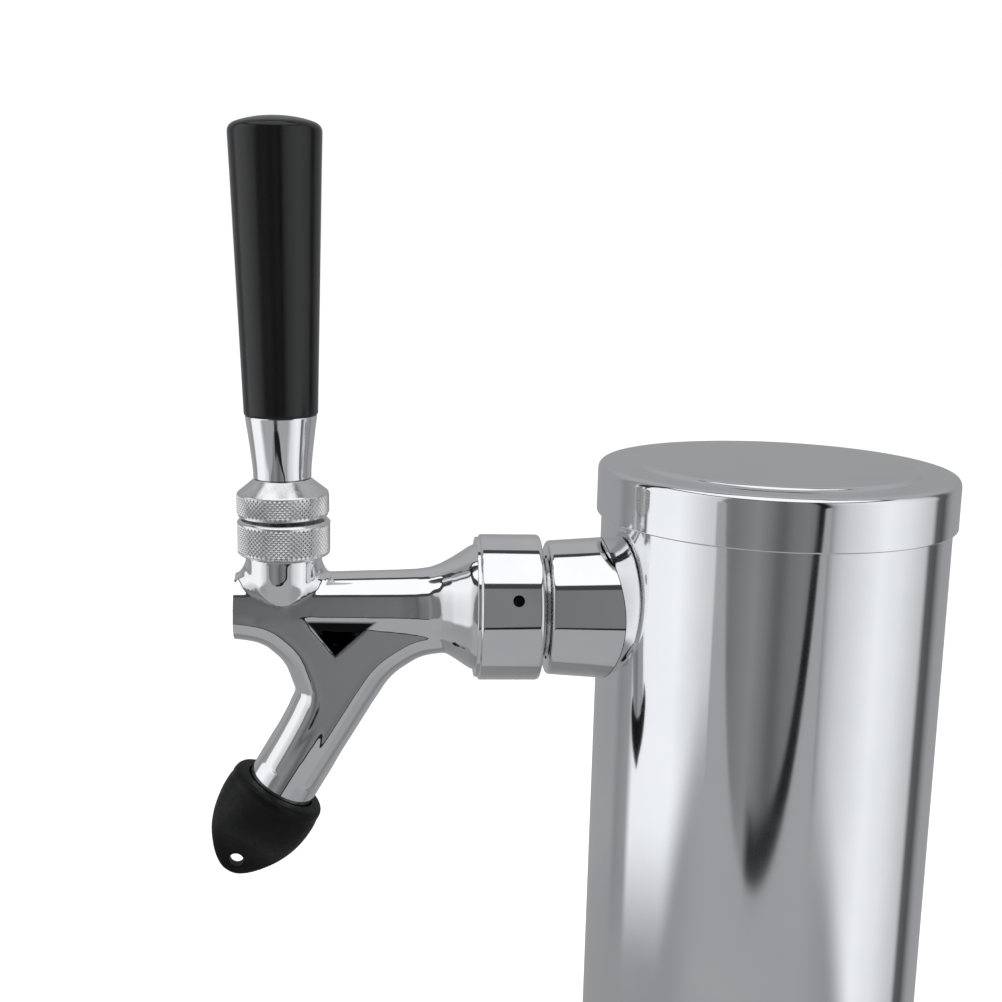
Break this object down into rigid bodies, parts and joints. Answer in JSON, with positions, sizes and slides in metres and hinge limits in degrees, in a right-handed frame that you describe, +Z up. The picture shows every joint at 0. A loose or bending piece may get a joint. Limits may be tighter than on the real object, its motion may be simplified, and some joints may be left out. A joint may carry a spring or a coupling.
{
  "type": "beer tap tower",
  "caption": "Round polished steel draft column with a lift-off cap and a screw-down flange, holding a side faucet with a tilting black lever handle and a rubber spout cap.",
  "frame": {"origin": "where the column's axis meets the bar top, at the level of the base gasket's underside", "axes": "+Z up along the column, the faucet reaches out along -X, +Y to the faucet's left as a drinker facing it along +X sees it"},
  "size_m": [0.1902, 0.13, 0.3759],
  "materials": {
    "polished_steel": "mirror-polished stainless steel",
    "chrome_plate": "bright chrome on brass",
    "satin_chrome": "satin chrome on brass",
    "brass": "plain machined brass",
    "black_grip": "satin moulded black plastic",
    "black_rubber": "matte black rubber",
    "grey_rubber": "matte grey rubber",
    "white_nylon": "natural nylon"
  },
  "bodies": {
    "tower": {"base_gasket": "black_rubber", "base_flange": "polished_steel", "column_tube": "polished_steel", "cap_seal_ring": "grey_rubber", "shank": "satin_chrome", "shank_collar": "chrome_plate", "coupling_nut": "chrome_plate", "coupling_washer": "black_rubber", "inner_saddle": "grey_rubber", "shank_locknut": "brass", "tail_washer": "black_rubber", "tail_nut": "satin_chrome", "tail_elbow": "satin_chrome", "faucet_body": "chrome_plate", "ball_washer": "white_nylon", "friction_washer": "white_nylon", "compression_bonnet": "satin_chrome"},
    "cap": {"tower_cap": "polished_steel"},
    "handle": {"lever": "satin_chrome", "lever_collar": "satin_chrome", "handle_ferrule": "chrome_plate", "handle_grip": "black_grip", "handle_insert": "brass"},
    "valve": {"valve_shaft": "satin_chrome", "shaft_seat": "black_rubber", "shaft_nut": "brass"},
    "plug": {"spout_cap": "black_rubber"}
  },
  "joints": [
    {"name": "handle_pull", "type": "hinge", "parent": "tower", "child": "handle", "pos_m": [-0.1075, 0, 0.2846], "axis": [0, -1, 0], "range_deg": [0, 22]},
    {"name": "valve_slide", "type": "slide", "parent": "tower", "child": "valve", "axis": [1, 0, 0], "range_m": [0, 0.0047]},
    {"name": "cap_lift", "type": "slide", "parent": "tower", "child": "cap", "axis": [0, 0, 1], "range_m": [0, 0.03]},
    {"name": "plug_pull", "type": "slide", "parent": "tower", "child": "plug", "axis": [-0.5, 0, -0.866], "range_m": [0, 0.03]}
  ],
  "couplings": [
    {"joint": "valve_slide", "follows": "handle_pull", "m_per_rad": 0.0121}
  ]
}
